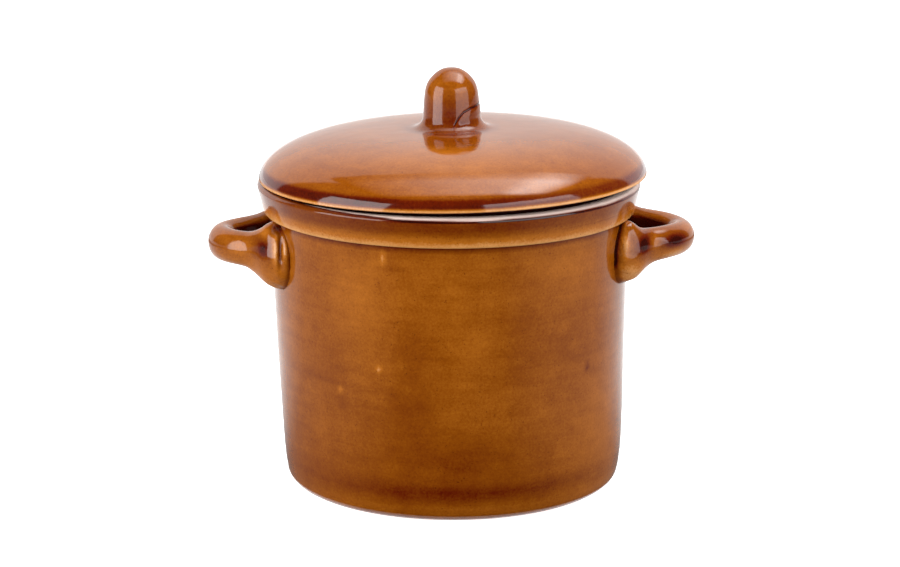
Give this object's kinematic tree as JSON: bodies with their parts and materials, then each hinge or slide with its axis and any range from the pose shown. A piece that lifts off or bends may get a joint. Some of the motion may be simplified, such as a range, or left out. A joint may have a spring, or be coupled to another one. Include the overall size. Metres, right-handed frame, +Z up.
{
  "type": "lidded ceramic pot",
  "caption": "Round straight-sided stoneware pot with a banded collar, small ear handles and a domed lid with an upright knob, glazed amber brown.",
  "frame": {"origin": "centre of the pot's foot, on the surface it stands on", "axes": "+Z up through the knob, X through the two handles, Y across them"},
  "size_m": [0.2008, 0.1586, 0.1716],
  "materials": {
    "glaze": "glossy amber-brown glaze over pale buff stoneware",
    "lid_glaze": "glossy amber-brown glaze over pale buff stoneware"
  },
  "bodies": {
    "root": {"pot": "glaze", "lid": "lid_glaze"}
  },
  "joints": []
}
